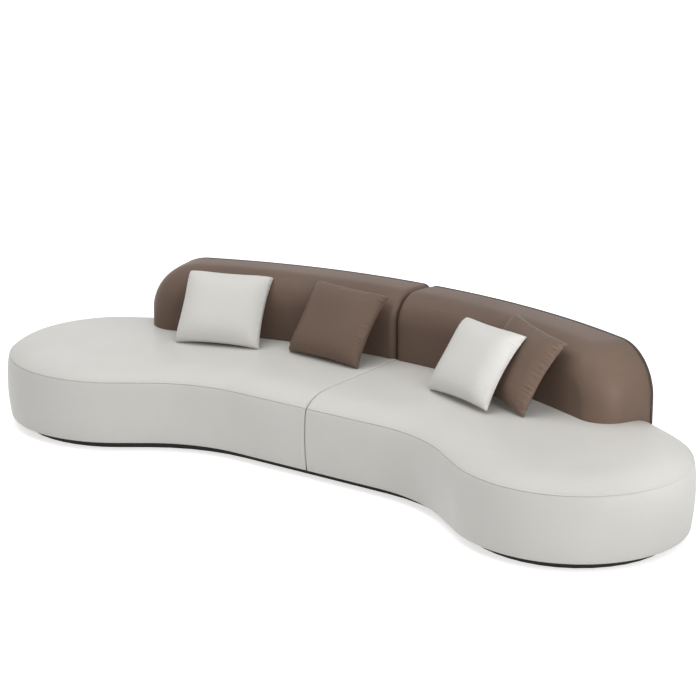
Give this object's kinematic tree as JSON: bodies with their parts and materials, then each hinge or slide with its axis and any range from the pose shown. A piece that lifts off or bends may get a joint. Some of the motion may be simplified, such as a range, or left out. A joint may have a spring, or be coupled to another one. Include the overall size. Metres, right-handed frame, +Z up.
{
  "type": "curved floor sofa",
  "caption": "Low kidney-shaped upholstered sofa on a recessed plinth, parting at its middle, with rolled curved backrests and loose cushions.",
  "frame": {"origin": "on the floor, under the middle of the sofa's length and depth", "axes": "+X along the sofa to the right of someone facing it, +Y to the back, +Z up"},
  "size_m": [3.5628, 1.3714, 0.7183],
  "materials": {
    "pale_leather": "soft satin, off-white",
    "brown_leather": "soft satin, grey-brown",
    "black_plinth": "black, matt",
    "plywood": "raw",
    "foam": "upholstery foam, matt",
    "fibre": "loose fibre filling, matt",
    "webbing": "woven elastic strap",
    "steel": "zinc plated"
  },
  "bodies": {
    "left_module": {"connector_sockets": "steel", "left_back_bolts": "steel", "left_back_border": "brown_leather", "left_back_foam": "foam", "left_back_front_cover": "brown_leather", "left_back_panel": "plywood", "left_back_posts": "plywood", "left_back_rear_cover": "brown_leather", "left_base_board": "plywood", "left_frame_studs": "plywood", "left_plinth_end_rail": "black_plinth", "left_plinth_front_rail": "black_plinth", "left_plinth_rear_rail": "black_plinth", "left_plinth_split_rail": "black_plinth", "left_seat_deck": "plywood", "left_seat_foam": "foam", "left_seat_side_cover": "pale_leather", "left_seat_split_panel": "pale_leather", "left_seat_top_cover": "pale_leather", "left_seat_webbing": "webbing", "left_side_padding": "foam", "left_side_wall": "plywood"},
    "right_module": {"connector_tongues": "steel", "right_back_bolts": "steel", "right_back_border": "brown_leather", "right_back_foam": "foam", "right_back_front_cover": "brown_leather", "right_back_panel": "plywood", "right_back_posts": "plywood", "right_back_rear_cover": "brown_leather", "right_base_board": "plywood", "right_frame_studs": "plywood", "right_plinth_end_rail": "black_plinth", "right_plinth_front_rail": "black_plinth", "right_plinth_rear_rail": "black_plinth", "right_plinth_split_rail": "black_plinth", "right_seat_deck": "plywood", "right_seat_foam": "foam", "right_seat_side_cover": "pale_leather", "right_seat_split_panel": "pale_leather", "right_seat_top_cover": "pale_leather", "right_seat_webbing": "webbing", "right_side_padding": "foam", "right_side_wall": "plywood"},
    "left_outer_cushion": {"left_outer_cushion_cover": "pale_leather", "left_outer_cushion_fill": "fibre"},
    "left_inner_cushion": {"left_inner_cushion_cover": "brown_leather", "left_inner_cushion_fill": "fibre"},
    "right_front_cushion": {"right_front_cushion_cover": "pale_leather", "right_front_cushion_fill": "fibre"},
    "right_rear_cushion": {"right_rear_cushion_cover": "brown_leather", "right_rear_cushion_fill": "fibre"}
  },
  "joints": [
    {"name": "right_module_slide", "type": "slide", "parent": "left_module", "child": "right_module", "axis": [1, 0, 0], "range_m": [0, 0.3]},
    {"name": "left_outer_cushion_lift", "type": "slide", "parent": "left_module", "child": "left_outer_cushion", "axis": [0.2684, -0.7536, 0.6], "range_m": [0, 0.25]},
    {"name": "left_inner_cushion_lift", "type": "slide", "parent": "left_module", "child": "left_inner_cushion", "axis": [-0.0558, -0.7981, 0.6], "range_m": [0, 0.25]},
    {"name": "right_front_cushion_lift", "type": "slide", "parent": "right_module", "child": "right_front_cushion", "axis": [-0.2932, -0.7443, 0.6], "range_m": [0, 0.25]},
    {"name": "right_rear_cushion_draw", "type": "slide", "parent": "right_module", "child": "right_rear_cushion", "axis": [0.922, -0.3632, 0.134], "range_m": [0, 0.25]}
  ]
}
